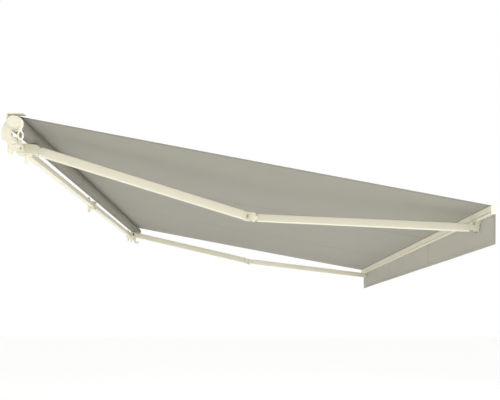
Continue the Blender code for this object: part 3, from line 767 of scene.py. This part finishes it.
# ---- front bar -----------------------------------------------------------------------------
@dataclass
class FrontBar:
    """The front bar's extrusion, with a fluted back, two grooves and a rounded nose."""

    nose: float = 0.019
    chin: float = 0.009
    flutes: int = 5
    flute_depth: float = 0.0009
    lip: float = 0.0085
    rise: float = 0.0014
    groove: float = 0.007
    valance_slot: float = 0.0040

    def outline(self, valance_y: float) -> np.ndarray:
        """Walk the section once: back flutes, top, nose, front and lower lip."""
        low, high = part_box("front_bar")
        front, back, base, top = low[1], high[1], low[2], high[2]
        z = np.linspace(base + self.lip + 0.0050, top - 0.006, self.flutes * 8 + 1)
        wave = self.flute_depth * (0.5 - 0.5 * np.cos(np.linspace(0, self.flutes * math.tau, len(z))))
        flutes = np.stack([back - wave, z], -1)
        rebate = np.array([[back, base + self.lip], [back - 0.0060, base + self.lip],
                           [back - 0.0060, base + self.lip + 0.0036], [back, base + self.lip + 0.0036]])
        quarter = np.linspace(0, math.pi / 2, 9)
        upper_back = np.stack([back - 0.003 + 0.003 * np.cos(quarter),
                               top + self.rise - 0.003 + 0.003 * np.sin(quarter)], -1)
        canopy_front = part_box("canopy")[0][1]
        groove = np.array([[canopy_front + 0.0028, top], [canopy_front + 0.0028, top - self.groove],
                           [canopy_front - 0.0022, top - self.groove], [canopy_front - 0.0022, top]])
        turn = np.linspace(math.pi / 2, math.pi, 15)
        round_nose = np.stack([front + self.nose + self.nose * np.cos(turn),
                               top - self.nose + self.nose * np.sin(turn)], -1)
        half = self.valance_slot / 2
        foot = np.array([[front, base + self.chin], [front + 0.0015, base + self.chin / 2],
                         [valance_y - half - 0.0015, base], [valance_y - half, base],
                         [valance_y - half, base + self.groove], [valance_y + half, base + self.groove],
                         [valance_y + half, base], [back - 0.002, base], [back, base + 0.002]])
        return np.concatenate([rebate, flutes, upper_back, groove, round_nose, foot])

    def make(self, shop: Workshop) -> None:
        """Extrude the section along the awning and crown both end caps.

        Args:
            shop: the workshop.
        """
        low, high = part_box("front_bar")
        sheet_low, sheet_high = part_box("valance")
        outline = self.outline((sheet_low[1] + sheet_high[1]) / 2)
        frame = np.array([[0, 0, 0], [1, 0, 0], [0, 1, 0], [0, 0, 1]], float)
        places = np.linspace(low[0], high[0], 9)
        piece = carried("front_bar_extrusion", outline, places, np.ones(9), frame, closed=False)
        piece.data.set_sharp_from_angle(angle=math.radians(50))
        shop.fit(piece, POWDER, "alloy", "front", "front_bar")
        for side in Side:
            self.cap(shop, side)

    @staticmethod
    def cap_outline(depth: float, height: float) -> np.ndarray:
        """The cap seen from its end: wide arcs to the front, tight ones to the back."""
        turn = np.linspace(0, math.pi / 2, 9)
        points = []
        arcs = ((0.004, 1, 1), (0.0195, -1, 1), (0.012, -1, -1), (0.004, 1, -1))
        for quarter, (radius, a, b) in enumerate(arcs):
            angle = turn + quarter * math.pi / 2
            points.append(np.stack([a * (depth / 2 - radius) + radius * np.cos(angle),
                                    b * (height / 2 - radius) + radius * np.sin(angle)], -1))
        return np.concatenate(points)

    def cap(self, shop: Workshop, side: Side) -> None:
        """Mould an end cap: its outline shrinks along a quarter ellipse, which rounds its rim."""
        node = f"front_cap_{side.word}"
        low, high = (np.array(corner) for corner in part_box(node))
        centre = (low + high) / 2
        inside = low[0] if side is Side.RIGHT else high[0]
        depth = (high[0] - low[0]) * side.value
        turn = np.linspace(0, math.pi / 2, 8)
        places = np.concatenate([[0.0], 0.35 + 0.65 * np.sin(turn)]) * depth
        scales = np.concatenate([[1.0], 0.88 + 0.12 * np.cos(turn)])
        outline = self.cap_outline(high[1] - low[1], high[2] - low[2])
        frame = np.array([[inside, centre[1], centre[2]], [1, 0, 0], [0, 1, 0], [0, 0, 1]], float)
        piece = carried(node + "_moulding", outline, places, scales, frame, closed=False)
        shop.fit(piece, MOULDED, "plastic", "front", node)


# ---- wall side -----------------------------------------------------------------------------
@dataclass
class WallSide:
    """Bar, brackets, side plates, gearbox and crank eye."""

    thread_pitch: float = 0.0059
    thread_starts: int = 4
    thread_depth: float = 0.0018
    worm_bore: float = 0.0043
    worm_sides: int = 40
    bolt_head: float = 0.0042
    bolt_radius: float = 0.0066
    shank_radius: float = 0.0032
    bolt_sides: int = 48

    def make(self, shop: Workshop) -> None:
        """Round every casting's edges, turn the bolts and forge the eye.

        Args:
            shop: the workshop.
        """
        shop.soften("torsion_bar", 0.0005, COATED_STEEL, "cream")
        for word in ("left", "middle", "right"):
            shop.soften(f"wall_bracket_{word}", 0.0012, POWDER, "alloy")
            shop.soften(f"bar_clamp_{word}", 0.0010, POWDER, "alloy")
        for side in Side:
            shop.soften(f"bar_plug_{side.word}", 0.0006, MOULDED, "plastic")
            shop.soften(f"hood_flange_{side.word}", 0.0008, COATED_STEEL, "cream")
            shop.soften(f"roller_plate_{side.word}", 0.0008, POWDER, "alloy")
        shop.soften("gear_housing", 0.0016, POWDER, "alloy")
        shop.soften("idler_bush", 0.0003, MOULDED, "plastic")
        for node in ("roller_tube", "drive_gear"):
            shop.soften(node, 0.0003, ZINC, "zinc")
        for node in ("clamp_bolt_left_lower", "clamp_bolt_middle_upper", "clamp_bolt_middle_lower",
                     "clamp_bolt_right_lower"):
            self.bolt(shop, node)
        self.worm(shop)
        shop.soften("crank_eye", 0.0006, COATED_STEEL, "cream")

    def bolt(self, shop: Workshop, node: str) -> None:
        """Cut a hexagon-headed bolt: a hexagon whose corners are turned off, on a washer face."""
        low, high = (np.array(corner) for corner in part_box(node))
        centre = (low + high) / 2
        origin = np.array([centre[0], low[1], centre[2]])
        axis, across, up = np.array([[0, 1, 0], [0, 0, 1], [1, 0, 0]], float)
        head = self.bolt_head
        turn = np.arange(self.bolt_sides) * math.tau / self.bolt_sides
        flat = math.cos(math.pi / 6) / np.cos((turn + math.pi / 6) % (math.pi / 3) - math.pi / 6)
        ring = np.stack([np.cos(turn), np.sin(turn)], -1)
        washer = ring * self.bolt_radius
        hexagon = ring * flat[:, None] * self.bolt_radius
        shank = ring * self.shank_radius
        rows = [(0.0, hexagon * 0.86), (0.0006, hexagon), (head - 0.0008, hexagon),
                (head - 0.0007, washer), (head - 0.0001, washer), (head - 0.0001, shank),
                (float(high[1] - low[1]), shank)]
        points = np.concatenate([origin + place * axis + shape[:, :1] * across + shape[:, 1:] * up
                                 for place, shape in rows])
        piece = mesh_object(node + "_hexagon", points, capped_faces(len(rows), self.bolt_sides), 35.0)
        shop.fit(piece, ZINC, "zinc", "root", node)

    def worm(self, shop: Workshop) -> None:
        """Cut the worm: a cylinder whose radius follows a thread wave that climbs with the turn."""
        low, high = (np.array(corner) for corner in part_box("worm"))
        centre = (low + high) / 2
        outer = (high[0] - low[0]) / 2
        turn = np.arange(self.worm_sides) * math.tau / self.worm_sides
        z = np.linspace(low[2], high[2], 90)
        climb = z[:, None] / self.thread_pitch
        phase = (climb - self.thread_starts * turn[None, :] / math.tau) * math.tau
        radius = outer - self.thread_depth / 2 * (1 - np.cos(phase))
        inner = np.full((1, self.worm_sides), self.worm_bore)
        rings = np.concatenate([inner, radius, inner])
        places = np.concatenate([[z[0]], z, [z[-1]]])
        points = np.stack(np.broadcast_arrays(centre[0] + rings * np.cos(turn),
                                              centre[1] + rings * np.sin(turn), places[:, None]), -1)
        faces = grid_faces(len(places), self.worm_sides, wrap_rows=True, wrap_columns=True)
        piece = mesh_object("worm_thread", points.reshape(-1, 3), faces, 50.0)
        shop.fit(piece, ZINC, "zinc", "crank", "worm")


# ---- studio --------------------------------------------------------------------------------
@dataclass
class Studio:
    """Pale floor, soft light and the camera below and in front of the near end."""

    lens: float = 42.0
    distance: float = 3.07
    outward: float = 1.287
    below: float = 1.0025
    floor: float = -2.4
    floor_reach: float = 90.0
    aim: tuple[float, float, float] = (-0.5, -1.25, -0.2)

    def make(self) -> None:
        """Set the camera level, looking along the wall, then the light and the floor."""
        scene = bpy.context.scene
        lens = bpy.data.cameras.new("studio_camera")
        lens.lens = self.lens
        lens.shift_x = 0.009
        lens.shift_y = 0.256
        camera = bpy.data.objects.new("studio_camera", lens)
        canopy_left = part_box("canopy")[0][0]
        camera.location = (canopy_left - self.distance, -self.outward, -self.below)
        camera.rotation_euler = (math.radians(90), 0, math.radians(-90))
        scene.collection.objects.link(camera)
        scene.camera = camera
        scene.view_settings.view_transform = "Standard"
        world = bpy.data.worlds.new("studio_sky")
        world.use_nodes = True
        sky = world.node_tree.nodes["Background"]
        sky.inputs["Color"].default_value = (1.0, 1.0, 1.0, 1.0)
        sky.inputs["Strength"].default_value = 1.0
        scene.world = world
        self.lamp("key_softbox", (-5.0, -8.5, 0.0), 4.0, 265.0)
        self.lamp("front_softbox", (-0.5, -9.0, -0.5), 4.0, 430.0)
        self.lamp("under_softbox", (-1.0, -1.2, -2.3), 6.0, 20.0)
        self.lamp("wall_side_softbox", (-3.0, 4.5, -0.6), 4.0, 55.0)
        self.ground()

    def lamp(self, name: str, place: tuple[float, float, float], size: float, watts: float) -> None:
        """Hang a square softbox that faces the middle of the awning."""
        light = bpy.data.lights.new(name, "AREA")
        light.size = size
        light.energy = watts
        lamp = bpy.data.objects.new(name, light)
        lamp.location = place
        aim = np.array(self.aim) - np.array(place)
        flat = math.hypot(aim[0], aim[1])
        lamp.rotation_euler = (math.atan2(flat, -aim[2]), 0, math.atan2(-aim[0], aim[1]))
        bpy.context.scene.collection.objects.link(lamp)

    def ground(self) -> None:
        """Lay the pale floor as one flat square."""
        reach = self.floor_reach
        points = np.array([[-reach, -reach, self.floor], [reach, -reach, self.floor],
                           [reach, reach, self.floor], [-reach, reach, self.floor]])
        piece = mesh_object("studio_floor", points, np.array([[0, 1, 2, 3]]))
        paint = bpy.data.materials.new("floor_paint")
        paint.use_nodes = True
        shader = paint.node_tree.nodes["Principled BSDF"]
        shader.inputs["Base Color"].default_value = linear("FCFCFB")
        shader.inputs["Roughness"].default_value = 0.9
        piece.data.materials.append(paint)


def main() -> None:
    """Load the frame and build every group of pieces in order."""
    logging.basicConfig(level=logging.INFO, format="%(message)s")
    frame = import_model()
    for obj in list(bpy.data.objects):
        if obj.name in ("Cube", "Light", "Camera"):
            bpy.data.objects.remove(obj, do_unlink=True)
    shop = Workshop(frame)
    Studio().make()
    WallSide().make(shop)
    Roll().make(shop)
    for side in Side:
        FoldingArm(side).make(shop)
    FrontBar().make(shop)
    Canopy().make(shop)
    Valance().make(shop)


if __name__ == "__main__":
    main()
